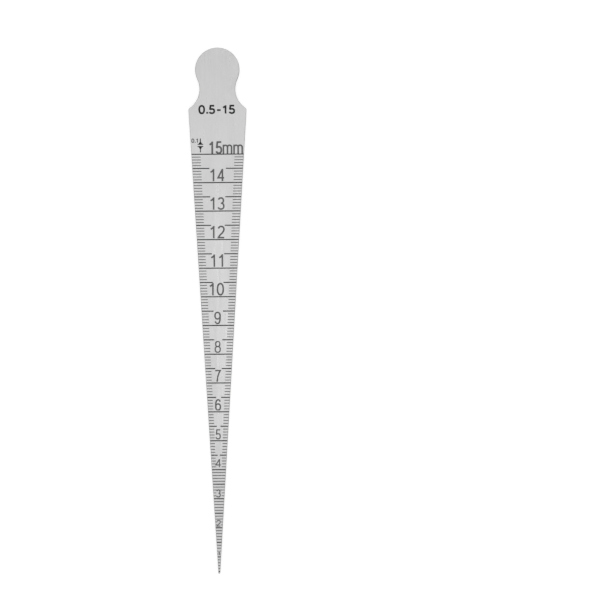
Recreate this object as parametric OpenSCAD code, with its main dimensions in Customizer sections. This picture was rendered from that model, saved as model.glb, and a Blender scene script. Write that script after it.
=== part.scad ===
// Taper gauge: a flat steel blade whose width at each engraved line is the size that the line reads.
// It lies with the metric face up and the inch face down, the head towards +Y. Millimetres, +Z up.

/* [Blade] */
// Length from the tip to the top of the head
overall_length = 150; // [146:0.5:160]
// Thickness of the sheet
thickness = 1.2; // [0.8:0.1:2]
// Length of blade along which the width grows by 1 mm
taper_run = 8.18; // [7.8:0.02:8.5]
// Width of the blunt tip
tip_width = 0.43; // [0.35:0.01:0.45]
// Leg of the broken edge around both faces
edge_break = 0.1; // [0.05:0.01:0.15]

/* [Head] */
// Diameter of the round head
head_diameter = 12.7; // [11:0.1:14]
// Narrowest width, between the two thumb notches
neck_width = 10.2; // [8:0.1:10.8]
// Radius of the thumb notches
notch_radius = 6.75; // [5:0.25:9]
// Radius of the corners between the notches and the flanks
shoulder_radius = 0.5; // [0.3:0.05:0.8]

/* [Engraving] */
// Depth of every line
line_depth = 0.04; // [0.02:0.01:0.08]
// Width of the whole and half millimetre lines and of the inch lines
major_line = 0.3; // [0.2:0.01:0.4]
// Width of the tenth of a millimetre lines
minor_line = 0.19; // [0.1:0.01:0.25]

/* [Metric scale] */
// First line, in tenths of a millimetre
metric_first = 5; // [5:1:10]
// Last line, in tenths of a millimetre
metric_last = 150; // [100:10:150]
// Reading below which the lines cross the whole blade
open_from = 4; // [3:1:6]
// Length that every tenth line has at each flank
tick_base = 0.78; // [0.4:0.02:1]
// Length added to a tenth line for each millimetre of its reading
tick_growth = 0.123; // [0.08:0.005:0.15]
// Reading at which the gap in the half lines begins
half_gap_from = 3; // [2:0.25:3.5]
// Gap in a half line for each millimetre of reading above that
half_gap_growth = 0.41; // [0.3:0.01:0.5]
// Tenth lines above a whole line that are broken for its numeral where the blade is narrow
numeral_tenths = 2; // [1:1:4]
// Share of the width that those lines leave clear
numeral_share = 0.48; // [0.3:0.02:0.6]

/* [Inch scale] */
// First line, in sixty-fourths of an inch
inch_first = 3; // [3:1:8]
// Last line, in sixty-fourths of an inch
inch_last = 40; // [32:1:40]
// Sixty-fourths from one labelled line to the next
label_step = 4; // [2:2:8]
// First labelled line that is broken for its label
label_first = 16; // [16:8:32]
// Gap left for a label
label_gap = 5.2; // [3:0.1:6]
// Shortest piece of line left beside a label
label_side = 1.1; // [0.6:0.1:1.5]

/* [Hidden] */
$fn = 96;

tenths_per_mm = 10;
half = tenths_per_mm / 2;
first_numeral = 1;
sixty_fourth = 25.4 / 64;
head_radius = head_diameter / 2;
tip_y = -overall_length / 2;
// The flanks would meet in a point here, beyond the blunt tip
apex = [0, tip_y - tip_width * taper_run];
flank_angle = atan(1 / (2 * taper_run));
along_flank = [sin(flank_angle), cos(flank_angle)];
off_flank = [cos(flank_angle), -sin(flank_angle)];

head_center = [0, overall_length / 2 - head_radius];
notch_x = neck_width / 2 + notch_radius;
notch_drop = sqrt(pow(head_radius + notch_radius, 2) - pow(notch_x, 2));
notch_center = [notch_x, head_center.y - notch_drop];

// The shoulder's centre lies one radius inside the flank and one radius off the notch
shoulder_line = apex - shoulder_radius * off_flank;
notch_along = (notch_center - shoulder_line) * along_flank;
notch_off = (notch_center - shoulder_line) * off_flank;
flank_length = notch_along - sqrt(pow(notch_radius + shoulder_radius, 2) - pow(notch_off, 2));
shoulder_center = shoulder_line + flank_length * along_flank;

// Where along the blade its width is the given reading
function station(reading) = apex.y + reading * taper_run;

// Section of the sheet from x = 0 out to a broken edge
module edge_section(reach) {
    polygon([
        [0, 0],
        [reach - edge_break, 0],
        [reach, edge_break],
        [reach, thickness - edge_break],
        [reach - edge_break, thickness],
        [0, thickness]
    ]);
}

// Round disc of the sheet with a broken rim
module disc(radius) {
    rotate_extrude()
        edge_section(radius);
}

// Cutter for a round notch, flared at both faces to break its rim
module notch_cutter() {
    flare = notch_radius + 2 * edge_break;
    rotate_extrude()
        polygon([
            [0, -edge_break],
            [flare, -edge_break],
            [notch_radius, edge_break],
            [notch_radius, thickness - edge_break],
            [flare, thickness + edge_break],
            [0, thickness + edge_break]
        ]);
}

// Everything inwards of the right flank, from the apex to the shoulder
module flank_slab() {
    translate(apex)
        rotate(-flank_angle)
            translate([0, flank_length])
                rotate([90, 0, 0])
                    linear_extrude(flank_length)
                        translate([-overall_length, 0])
                            edge_section(overall_length);
}

// Everything from the tip upwards
module tip_slab() {
    translate([0, tip_y + overall_length])
        rotate([90, 0, -90])
            linear_extrude(overall_length, center = true)
                edge_section(overall_length);
}

module wedge() {
    intersection() {
        tip_slab();
        flank_slab();
        mirror([1, 0])
            flank_slab();
    }
}

module neck() {
    linear_extrude(thickness)
        polygon([
            shoulder_center,
            notch_center,
            head_center,
            [-notch_center.x, notch_center.y],
            [-shoulder_center.x, shoulder_center.y]
        ]);
}

module blank() {
    difference() {
        union() {
            wedge();
            neck();
            translate(head_center)
                disc(head_radius);
            for (side = [0, 1])
                mirror([side, 0])
                    translate(shoulder_center)
                        disc(shoulder_radius);
        }
        for (side = [0, 1])
            mirror([side, 0])
                translate(notch_center)
                    notch_cutter();
    }
}

// Groove across the upper face, from one flank to the other but for a gap in the middle
module line_cutter(reading, line_width, gap) {
    reach = reading / 2 + thickness;
    for (side = gap > 0 ? [0, 1] : [0])
        mirror([side, 0])
            translate([gap > 0 ? gap / 2 : -reach, station(reading) - line_width / 2, thickness - line_depth])
                cube([gap > 0 ? reach - gap / 2 : 2 * reach, line_width, thickness]);
}

// Gap in a metric line: whole millimetres have none, halves leave room for the numeral below them
function metric_gap(reading, tenths) =
    tenths == 0 ? 0
    : reading > open_from && tenths == half ? half_gap_growth * (reading - half_gap_from)
    : reading > open_from ? reading - 2 * (tick_base + tick_growth * reading)
    : reading > first_numeral && tenths <= numeral_tenths ? numeral_share * reading
    : 0;

module metric_lines() {
    for (step = [metric_first:metric_last]) {
        tenths = step % tenths_per_mm;
        reading = step / tenths_per_mm;
        line_cutter(reading, tenths % half == 0 ? major_line : minor_line, metric_gap(reading, tenths));
    }
}

function inch_gap(reading, step) =
    step >= label_first && step % label_step == 0 ? min(label_gap, reading - 2 * label_side) : 0;

module inch_lines() {
    for (step = [inch_first:inch_last])
        line_cutter(step * sixty_fourth, major_line, inch_gap(step * sixty_fourth, step));
}

module taper_gauge() {
    color("silver")
        difference() {
            blank();
            metric_lines();
            translate([0, 0, thickness])
                rotate([0, 180, 0])
                    inch_lines();
        }
}

taper_gauge();
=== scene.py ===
import math
from collections import namedtuple

import bmesh
import bpy
from mathutils import Matrix, Vector, geometry


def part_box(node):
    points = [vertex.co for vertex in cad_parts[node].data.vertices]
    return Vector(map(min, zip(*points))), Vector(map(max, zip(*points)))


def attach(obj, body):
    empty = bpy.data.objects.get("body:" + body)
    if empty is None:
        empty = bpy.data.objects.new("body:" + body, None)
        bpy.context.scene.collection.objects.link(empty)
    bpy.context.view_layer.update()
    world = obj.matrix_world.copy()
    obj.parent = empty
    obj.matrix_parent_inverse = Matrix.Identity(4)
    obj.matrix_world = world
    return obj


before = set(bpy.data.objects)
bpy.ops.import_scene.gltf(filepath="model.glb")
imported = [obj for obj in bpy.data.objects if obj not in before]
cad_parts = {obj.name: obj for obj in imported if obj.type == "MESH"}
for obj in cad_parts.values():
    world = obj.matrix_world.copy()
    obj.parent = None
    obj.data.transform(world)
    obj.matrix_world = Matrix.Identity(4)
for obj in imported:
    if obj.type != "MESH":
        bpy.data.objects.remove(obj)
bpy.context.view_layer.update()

MM = 0.001

# The gauge, in millimetres on the CAD frame
TAPER_RUN = 8.18
TIP_WIDTH = 0.43
EDGE_BREAK = 0.1
LINE_DEPTH = 0.04
METRIC_LAST = 15
INCH = 25.4
# The inch scale counts in parts of an inch
INCH_PARTS = 64
INCH_LAST = 40

# Where the gauge lies, and where its flanks would meet in a point
LOW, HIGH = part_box("taper_gauge")
FACE_Z = HIGH.z / MM
APEX_Y = LOW.y / MM - TIP_WIDTH * TAPER_RUN

# The ink: how far it lies under the face in a groove, and how far a figure stands on and in the face
GROOVE_DROP = 0.008
FIGURE_PROUD = 0.012
FIGURE_SUNK = 0.006

# Points are told apart to this many decimals of a millimetre
DECIMALS = 5
WELD = 10 ** -DECIMALS
# Faces that meet at less than this angle become one
FLAT_ANGLE = math.radians(0.5)

# How a line of figures is drawn: its height, its widening and the width of its pen
Form = namedtuple("Form", "height widen pen")

# Numerals of the metric scale, as large as the blade has room for
NUMERALS = {
    1: Form(1.1, 1.0, 0.3),
    2: Form(1.8, 1.3, 0.28),
    3: Form(2.2, 1.15, 0.33),
    4: Form(2.3, 1.45, 0.3),
    5: Form(2.85, 1.06, 0.36),
    6: Form(3.2, 1.06, 0.41),
    7: Form(3.3, 1.06, 0.41),
    8: Form(3.4, 1.06, 0.36),
    9: Form(3.5, 1.06, 0.42),
}
TWO_FIGURES = Form(3.55, 1.15, 0.46)

# How far a numeral's foot stands above its line, where it stands higher, and where it stands aside
FOOT_GAP = 0.38
WIDER_FOOT_GAPS = {1: 0.5, 4: 0.7}
SIDE_SHIFTS = {10: -0.3}

# Labels of the inch scale: their step, the first line that has one and the first that is broken for it
LABEL_STEP = 4
FIRST_LABEL = 8
FIRST_BROKEN = 16

# A label lies on a broken line, a little low, or above and below a whole one
LABEL = Form(1.75, 1.24, 0.3)
TIGHT_LABEL = Form(1.65, 1.42, 0.29)
LABEL_DROP = 0.25
STACKED = Form(1.4, 1.58, 0.28)
STACK_RISE = 0.42
STACK_DROP = 0.55

# Texts above a scale's last line: each text, the middle of its foot from that line's middle, and its form
LAST_NUMERAL = (
    ("15", (-0.46, 0.1), Form(3.55, 1.03, 0.53)),
    ("mm", (4.45, 0.1), Form(3.55, 1.06, 0.46)),
)
METRIC_HEADING = (
    ("0.1", (-6.4, 3.35), Form(1.15, 1.3, 0.22)),
    ("0.5-15", (0, 11.7), Form(2.4, 1.45, 0.52)),
)
INCH_HEADING = (
    ("1", (3.4, 10.2), Form(1.8, 1.24, 0.33)),
    ("64", (3.4, 7.3), Form(1.9, 1.14, 0.34)),
    ("3/64-5/8", (0, 3.5), Form(1.9, 1.24, 0.28)),
)
FRACTION_BAR = ((2.1, 9.76), (4.7, 9.76))
FRACTION_BAR_PEN = 0.32

# The sign for the step between two lines: two bars, and on each a wedge that runs out into a stem
Sign = namedtuple("Sign", "middle along half_length half_gap half_bar wedge pen")
METRIC_SIGN = Sign(
    middle=(-4.9, 2.55), along=(0, 1), half_length=2.0, half_gap=0.32, half_bar=0.82, wedge=0.78, pen=0.27
)
INCH_SIGN = Sign(
    middle=(-1.95, 9.76), along=(1, 0), half_length=2.57, half_gap=0.42, half_bar=1.0, wedge=0.8, pen=0.28
)
WEDGE_SLOPE = 0.74


def station(reading):
    """Millimetres along Y at which the blade is that wide."""
    return APEX_Y + reading * TAPER_RUN


# Strokes of the figures, each for a figure one unit high

FIGURE_WIDTH = 0.52
ADVANCE = 0.62


def bow(cx, cy, rx, ry, start, end, steps=14, square=2.3):
    """Points on a slightly squared ellipse, between two angles in degrees."""
    points = []
    for i in range(steps + 1):
        a = math.radians(start + (end - start) * i / steps)
        c, s = math.cos(a), math.sin(a)
        x = math.copysign(abs(c) ** (2 / square), c)
        y = math.copysign(abs(s) ** (2 / square), s)
        points.append((cx + rx * x, cy + ry * y))
    return points


def ring(cx, cy, rx, ry):
    """A bow that closes on itself."""
    return bow(cx, cy, rx, ry, 0, 360, steps=28)


def turned(strokes):
    """The strokes of a figure, upside down."""
    return [[(FIGURE_WIDTH - x, 1 - y) for x, y in line] for line in strokes]


SIX = [
    ring(0.265, 0.315, 0.195, 0.265),
    bow(0.27, 0.5, 0.2, 0.45, 35, 200),
]

# Each figure's advance and its strokes
FIGURES = {
    "0": (ADVANCE, [ring(0.26, 0.5, 0.2, 0.45)]),
    "1": (0.56, [[(0.3, 0), (0.3, 1)], [(0.31, 0.95), (0.22, 0.82), (0.09, 0.73)]]),
    "2": (ADVANCE, [
        [
            *bow(0.26, 0.71, 0.19, 0.24, 165, -25),
            (0.33, 0.42), (0.15, 0.22), (0.065, 0.05), (0.47, 0.05),
        ],
    ]),
    "3": (ADVANCE, [
        bow(0.25, 0.735, 0.17, 0.215, 160, -90),
        bow(0.25, 0.29, 0.2, 0.24, 90, -160),
    ]),
    "4": (ADVANCE, [
        [(0.36, 0.97), (0.06, 0.28), (0.48, 0.28)],
        [(0.36, 0), (0.36, 1)],
    ]),
    "5": (ADVANCE, [
        [(0.45, 0.95), (0.14, 0.95), (0.09, 0.47)],
        bow(0.25, 0.31, 0.2, 0.26, 140, -160),
    ]),
    "6": (ADVANCE, SIX),
    "7": (ADVANCE, [[(0.04, 0.95), (0.45, 0.95), (0.34, 0.72), (0.25, 0.42), (0.2, 0)]]),
    "8": (ADVANCE, [ring(0.26, 0.74, 0.165, 0.21), ring(0.26, 0.29, 0.2, 0.24)]),
    "9": (ADVANCE, turned(SIX)),
    ".": (0.22, [[(0.09, 0), (0.09, 0.22)]]),
    "-": (0.46, [[(0.06, 0.42), (0.36, 0.42)]]),
    "/": (0.36, [[(0.03, -0.02), (0.27, 1.02)]]),
    "m": (0.81, [
        [(0.07, 0), (0.07, 0.74)],
        [*bow(0.225, 0.5, 0.155, 0.19, 180, 0), (0.38, 0)],
        [*bow(0.535, 0.5, 0.155, 0.19, 180, 0), (0.69, 0)],
    ]),
}


# Flat figures, as quads in millimetres on the face

MITRE_LIMIT = 0.4


def ribbon(line, pen):
    """Quads that cover a line with a pen, mitred at its corners."""
    closed = math.dist(line[0], line[-1]) < WELD
    points = [Vector(p) for p in (line[:-1] if closed else line)]
    count = len(points)
    sides = []
    for i, p in enumerate(points):
        before = p - points[i - 1] if closed or i > 0 else points[1] - p
        after = points[(i + 1) % count] - p if closed or i < count - 1 else before
        n1 = Vector((-before.y, before.x)).normalized()
        n2 = Vector((-after.y, after.x)).normalized()
        across = (n1 + n2).normalized()
        across *= pen / 2 / max(across.dot(n1), MITRE_LIMIT)
        sides.append((p + across, p - across))
    if closed:
        sides.append(sides[0])
    return [(a[0], a[1], b[1], b[0]) for a, b in zip(sides, sides[1:])]


def figure_quads(text, x, y, form):
    """A line of figures with its middle at x and its foot at y."""
    scale = form.height * form.widen
    x -= scale * sum(FIGURES[c][0] for c in text) / 2
    quads = []
    for c in text:
        advance, strokes = FIGURES[c]
        for line in strokes:
            placed = [(x + scale * px, y + form.height * py) for px, py in line]
            quads += ribbon(placed, form.pen)
        x += scale * advance
    return quads


def sign_quads(sign, y):
    """The sign for a step, with its middle measured from y."""
    middle = Vector(sign.middle) + Vector((0, y))
    along = Vector(sign.along)
    across = Vector((-along.y, along.x))
    wide = WEDGE_SLOPE * sign.wedge * across
    slim = sign.pen / 2 * across
    quads = []
    for way in (along, -along):
        bar = middle + sign.half_gap * way
        neck = bar + sign.wedge * way
        quads += ribbon([bar - sign.half_bar * across, bar + sign.half_bar * across], sign.pen)
        quads.append((bar - wide, bar + wide, neck + slim, neck - slim))
        quads += ribbon([neck - sign.pen * way, middle + sign.half_length * way], sign.pen)
    return quads


def text_quads(texts, y):
    """Several lines of figures, each placed from a scale's last line at y."""
    quads = []
    for text, (x, rise), form in texts:
        quads += figure_quads(text, x, y + rise, form)
    return quads


def metric_figures():
    """A numeral above each whole line, and the unit after the last one."""
    quads = []
    for reading in range(1, METRIC_LAST):
        foot = station(reading) + WIDER_FOOT_GAPS.get(reading, FOOT_GAP)
        form = NUMERALS.get(reading, TWO_FIGURES)
        quads += figure_quads(str(reading), SIDE_SHIFTS.get(reading, 0), foot, form)
    return quads + text_quads(LAST_NUMERAL, station(METRIC_LAST))


def metric_heading():
    y = station(METRIC_LAST)
    return sign_quads(METRIC_SIGN, y) + text_quads(METRIC_HEADING, y)


def inch_figures():
    """A fraction in its lowest terms at each labelled line."""
    quads = []
    for step in range(FIRST_LABEL, INCH_LAST + 1, LABEL_STEP):
        y = station(step * INCH / INCH_PARTS)
        shared = math.gcd(step, INCH_PARTS)
        top, bottom = str(step // shared), str(INCH_PARTS // shared)
        if step < FIRST_BROKEN:
            quads += figure_quads(top, 0, y + STACK_RISE, STACKED)
            quads += figure_quads(bottom, 0, y - STACK_DROP - STACKED.height, STACKED)
        else:
            form = TIGHT_LABEL if step == FIRST_BROKEN else LABEL
            quads += figure_quads(f"{top}/{bottom}", 0, y - LABEL_DROP - form.height / 2, form)
    return quads


def inch_heading():
    y = station(INCH_LAST * INCH / INCH_PARTS)
    bar = [(x, y + rise) for x, rise in FRACTION_BAR]
    return sign_quads(INCH_SIGN, y) + text_quads(INCH_HEADING, y) + ribbon(bar, FRACTION_BAR_PEN)


# Pieces of the gauge

# The kind of triangulation that keeps only what lies inside its outline
INSIDE = 1
# How far a point may lie off the floor of a groove and still count as on it
FLOOR_SLACK = LINE_DEPTH / 10


def mesh_object(name, bm, material):
    """Puts a mesh into the scene."""
    mesh = bpy.data.meshes.new(name)
    bm.to_mesh(mesh)
    bm.free()
    mesh.materials.append(material)
    obj = bpy.data.objects.new(name, mesh)
    bpy.context.collection.objects.link(obj)
    return obj


def piece(name, bm, material):
    """A mesh in millimetres becomes a piece that rides with the gauge."""
    bmesh.ops.scale(bm, vec=(MM, MM, MM), verts=bm.verts[:])
    obj = mesh_object(name, bm, material)
    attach(obj, "root")


def slab(feet, heads, faces):
    """A closed mesh: a sheet of faces at the heads, its back at the feet, and a wall along its rim."""
    bm = bmesh.new()
    low = [bm.verts.new(p) for p in feet]
    high = [bm.verts.new(p) for p in heads]
    edges = {(a, b) for face in faces for a, b in zip(face, face[1:] + face[:1])}
    rim = edges - {(b, a) for a, b in edges}
    for face in faces:
        bm.faces.new([high[i] for i in face])
        bm.faces.new([low[i] for i in reversed(face)])
    for a, b in sorted(rim):
        bm.faces.new((low[a], low[b], high[b], high[a]))
    bmesh.ops.delete(bm, geom=[v for v in bm.verts if not v.link_faces], context="VERTS")
    return bm


def runs_left(quad):
    """Whether a quad's corners run anticlockwise."""
    a, b, c, d = quad
    return (c - a).cross(d - b) > 0


def thin_solid(quads):
    """One closed mesh over the quads' union, a little in and a little on the upper face."""
    corners = [p for q in quads for p in (q if runs_left(q) else reversed(q))]
    loops = [range(i, i + 4) for i in range(0, len(corners), 4)]
    points, _, faces, _, _, covers = geometry.delaunay_2d_cdt(corners, [], loops, INSIDE, WELD, True)
    feet = [(p.x, p.y, FACE_Z - FIGURE_SUNK) for p in points]
    heads = [(p.x, p.y, FACE_Z + FIGURE_PROUD) for p in points]
    bm = slab(feet, heads, [face for face, inside in zip(faces, covers) if inside])
    bmesh.ops.dissolve_limit(bm, angle_limit=FLAT_ANGLE, verts=bm.verts[:], edges=bm.edges[:])
    return bm


def turned_over(bm):
    """From the upper face to the same place on the underside, to be read from below."""
    half_turn = Matrix.Rotation(math.pi, 3, "Y")
    bmesh.ops.rotate(bm, cent=(0, 0, FACE_Z / 2), matrix=half_turn, verts=bm.verts[:])
    return bm


def line_fill(face_z, inwards):
    """Ink on the floors of the grooves in one face, up to just under that face."""
    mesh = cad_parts["taper_gauge"].data
    floor_z = face_z + inwards * LINE_DEPTH
    feet = {}
    faces = []
    for p in mesh.polygons:
        corners = [mesh.vertices[i].co / MM for i in p.vertices]
        if all(abs(c.z - floor_z) < FLOOR_SLACK for c in corners):
            faces.append([feet.setdefault(c.to_tuple(DECIMALS), len(feet)) for c in corners])
    heads = []
    for x, y, _ in feet:
        reach = (y - APEX_Y) / TAPER_RUN / 2 - EDGE_BREAK + GROOVE_DROP
        heads.append((max(-reach, min(reach, x)), y, face_z + inwards * GROOVE_DROP))
    return slab(feet, heads, faces)


# Materials: a noise is given as cells to the metre along each axis

HAIRLINES = (5200, 160, 5200)
STREAKS = (1100, 22, 1100)
CLOUDS = (160, 60, 160)
SPECKLE = (2600, 2600, 2600)
MOTTLE = (14, 14, 14)

# The grain of every noise, and the two values between which most of it lies
NOISE_DETAIL = 3.0
NOISE_ROUGHNESS = 0.55
NOISE_EDGES = (0.3, 0.7)

# Ranges of grey, from the darkest spot to the palest
STEEL_GREY = (0.5, 0.59)
LINE_GREY = (0.008, 0.02)
FIGURE_GREY = (0.08, 0.13)
FLOOR_GREY = (0.39, 0.41)

# Painted shade: the share of its grey that the steel keeps on a ground edge and on a face, and how level
# each of them is
PAINTED_EDGE_SHADE = (0.6, 1.0)
LEVEL_EDGES = (0.8, 0.98)

# Ranges of roughness, from the shiniest spot to the dullest
STEEL_ROUGHNESS = (0.24, 0.42)
INK_ROUGHNESS = (0.5, 0.7)
FLOOR_ROUGHNESS = 0.9
INK_SPECULAR = 0.2
FLOOR_SPECULAR = 0.1
FLOOR_GLOW = 0.67

# The brushing: its depth in millimetres, the strength of its bump, and its shares of streaks and clouds
BRUSH_DEPTH = 0.008
BRUSH_STRENGTH = 0.2
STREAK_SHARE = 0.5
CLOUD_SHARE = 0.35


def shader(name):
    """A new material, its node tree and the node of its surface."""
    material = bpy.data.materials.new(name)
    material.use_nodes = True
    tree = material.node_tree
    return material, tree, tree.nodes["Principled BSDF"]


def noise(tree, cells):
    """Noise with that many cells to the metre along each axis of a piece."""
    place = tree.nodes.new("ShaderNodeTexCoord")
    mapping = tree.nodes.new("ShaderNodeMapping")
    mapping.inputs["Scale"].default_value = cells
    texture = tree.nodes.new("ShaderNodeTexNoise")
    texture.inputs["Scale"].default_value = 1.0
    texture.inputs["Detail"].default_value = NOISE_DETAIL
    texture.inputs["Roughness"].default_value = NOISE_ROUGHNESS
    tree.links.new(place.outputs["Object"], mapping.inputs["Vector"])
    tree.links.new(mapping.outputs["Vector"], texture.inputs["Vector"])
    return texture.outputs["Fac"]


def mixed(tree, a, b, share):
    """Mix of two noises, with that share of the second."""
    mix = tree.nodes.new("ShaderNodeMix")
    mix.inputs["Factor"].default_value = share
    tree.links.new(a, mix.inputs["A"])
    tree.links.new(b, mix.inputs["B"])
    return mix.outputs["Result"]


def spread(tree, value, ends, edges=NOISE_EDGES):
    """Maps what lies between two edges to a range of values."""
    ramp = tree.nodes.new("ShaderNodeMapRange")
    ramp.inputs["From Min"].default_value = edges[0]
    ramp.inputs["From Max"].default_value = edges[1]
    ramp.inputs["To Min"].default_value = ends[0]
    ramp.inputs["To Max"].default_value = ends[1]
    tree.links.new(value, ramp.inputs["Value"])
    return ramp.outputs["Result"]


def grey(tree, value, target):
    """Links one value to a colour, as all three of its channels."""
    colour = tree.nodes.new("ShaderNodeCombineColor")
    for channel in ("Red", "Green", "Blue"):
        tree.links.new(value, colour.inputs[channel])
    tree.links.new(colour.outputs["Color"], target)


def levelness(tree):
    """How far a face looks up or down: 1 on the two brushed faces, less on the ground edges; it places
    the painted shade.
    """
    face = tree.nodes.new("ShaderNodeNewGeometry")
    split = tree.nodes.new("ShaderNodeSeparateXYZ")
    size = tree.nodes.new("ShaderNodeMath")
    size.operation = "ABSOLUTE"
    tree.links.new(face.outputs["True Normal"], split.inputs["Vector"])
    tree.links.new(split.outputs["Z"], size.inputs[0])
    return size.outputs["Value"]


def brushed_steel():
    """Satin steel, brushed along the blade, with painted shade darkening its ground edges."""
    material, tree, skin = shader("brushed_steel")
    grain = mixed(tree, noise(tree, HAIRLINES), noise(tree, STREAKS), STREAK_SHARE)
    tone = mixed(tree, grain, noise(tree, CLOUDS), CLOUD_SHARE)
    shade = tree.nodes.new("ShaderNodeMath")
    shade.operation = "MULTIPLY"
    tree.links.new(spread(tree, tone, STEEL_GREY), shade.inputs[0])
    # Painted shade: the grey is darkened where a face tilts away from level, on the ground edges and
    # flanks
    tree.links.new(spread(tree, levelness(tree), PAINTED_EDGE_SHADE, LEVEL_EDGES), shade.inputs[1])
    grey(tree, shade.outputs["Value"], skin.inputs["Base Color"])
    tree.links.new(spread(tree, grain, STEEL_ROUGHNESS), skin.inputs["Roughness"])
    skin.inputs["Metallic"].default_value = 1.0
    bump = tree.nodes.new("ShaderNodeBump")
    bump.inputs["Strength"].default_value = BRUSH_STRENGTH
    bump.inputs["Distance"].default_value = BRUSH_DEPTH * MM
    tree.links.new(grain, bump.inputs["Height"])
    tree.links.new(bump.outputs["Normal"], skin.inputs["Normal"])
    return material


def ink(name, greys):
    """Matt dark ink, a little uneven."""
    material, tree, skin = shader(name)
    speckle = noise(tree, SPECKLE)
    grey(tree, spread(tree, speckle, greys), skin.inputs["Base Color"])
    tree.links.new(spread(tree, speckle, INK_ROUGHNESS), skin.inputs["Roughness"])
    skin.inputs["Specular IOR Level"].default_value = INK_SPECULAR
    return material


def pale_floor():
    """Pale paper that glows a little, as a lit table does."""
    material, tree, skin = shader("pale_floor")
    grey(tree, spread(tree, noise(tree, MOTTLE), FLOOR_GREY), skin.inputs["Base Color"])
    skin.inputs["Roughness"].default_value = FLOOR_ROUGHNESS
    skin.inputs["Specular IOR Level"].default_value = FLOOR_SPECULAR
    skin.inputs["Emission Color"].default_value = (1, 1, 1, 1)
    skin.inputs["Emission Strength"].default_value = FLOOR_GLOW
    return material


# Stage, in metres, with the floor just under the figures of the underside

FLOOR_HALF = 3.0
FLOOR_DROP = 0.02 * MM

# Large soft lights all round, a small one above, and a grey sky
SOFTBOX_SIDES = {"left": (-1, 0), "right": (1, 0), "front": (0, -1), "back": (0, 1)}
SOFTBOX_OUT = 1.2
SOFTBOX_UP = 1.1
SOFTBOX_SIZE = 1.4
SOFTBOX_WATTS = 3.5
TOP_PLACE = Vector((0.02, 0.1, 1.3))
TOP_SIZE = 0.3
TOP_WATTS = 0.38
HORIZON_GREY = 0.55
ZENITH_GREY = 0.8

# The camera, by the scale of its picture at the point that it looks at
FRAME_PX = 600
PX_PER_MM = 3.516
CAMERA_AIM = Vector((23.27 * MM, 2.2 * MM, HIGH.z))
CAMERA_DISTANCE = 0.7
CAMERA_CLIP = 0.01
CAMERA_TILT = math.radians(4.7)
CAMERA_ROLL = math.radians(0.39)


def make_floor():
    bm = bmesh.new()
    bmesh.ops.create_grid(bm, x_segments=1, y_segments=1, size=FLOOR_HALF)
    floor = mesh_object("floor", bm, pale_floor())
    floor.location.z = -FLOOR_DROP


def make_light(name, place, aim, size, watts):
    data = bpy.data.lights.new(name, "AREA")
    data.size = size
    data.energy = watts
    light = bpy.data.objects.new(name, data)
    light.location = place
    light.rotation_euler = (aim - place).to_track_quat("-Z", "Y").to_euler()
    bpy.context.collection.objects.link(light)


def make_lights():
    for side, (x, y) in SOFTBOX_SIDES.items():
        place = Vector((SOFTBOX_OUT * x, SOFTBOX_OUT * y, SOFTBOX_UP))
        make_light(f"{side}_softbox", place, Vector((0, 0, 0)), SOFTBOX_SIZE, SOFTBOX_WATTS)
    make_light("top_softbox", TOP_PLACE, Vector((TOP_PLACE.x, TOP_PLACE.y, 0)), TOP_SIZE, TOP_WATTS)


def make_world():
    """A plain grey sky, paler overhead."""
    world = bpy.data.worlds.new("studio")
    bpy.context.scene.world = world
    world.use_nodes = True
    tree = world.node_tree
    place = tree.nodes.new("ShaderNodeTexCoord")
    split = tree.nodes.new("ShaderNodeSeparateXYZ")
    tree.links.new(place.outputs["Generated"], split.inputs["Vector"])
    ramp = tree.nodes.new("ShaderNodeValToRGB")
    for end, tone in zip(ramp.color_ramp.elements, (HORIZON_GREY, ZENITH_GREY)):
        end.color = (tone, tone, tone, 1)
    tree.links.new(split.outputs["Z"], ramp.inputs["Fac"])
    tree.links.new(ramp.outputs["Color"], tree.nodes["Background"].inputs["Color"])


def make_camera():
    """Looks down on the face, a little tilted and rolled."""
    data = bpy.data.cameras.new("camera")
    data.lens = data.sensor_width * PX_PER_MM * CAMERA_DISTANCE / MM / FRAME_PX
    data.clip_start = CAMERA_CLIP
    camera = bpy.data.objects.new("camera", data)
    turn = Matrix.Rotation(CAMERA_TILT, 4, "X") @ Matrix.Rotation(-CAMERA_ROLL, 4, "Z")
    away = Matrix.Translation((0, 0, CAMERA_DISTANCE))
    camera.matrix_world = Matrix.Translation(CAMERA_AIM) @ turn @ away
    bpy.context.collection.objects.link(camera)
    bpy.context.scene.camera = camera


def main():
    line_ink = ink("line_ink", LINE_GREY)
    figure_ink = ink("figure_ink", FIGURE_GREY)
    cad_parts["taper_gauge"].material_slots[0].material = brushed_steel()
    piece("metric_lines", line_fill(FACE_Z, -1), line_ink)
    piece("metric_figures", thin_solid(metric_figures()), figure_ink)
    piece("metric_heading", thin_solid(metric_heading()), line_ink)
    piece("inch_lines", line_fill(0, 1), line_ink)
    piece("inch_figures", turned_over(thin_solid(inch_figures())), figure_ink)
    piece("inch_heading", turned_over(thin_solid(inch_heading())), line_ink)
    make_floor()
    make_world()
    make_lights()
    make_camera()
    bpy.context.scene.view_settings.view_transform = "Standard"


main()
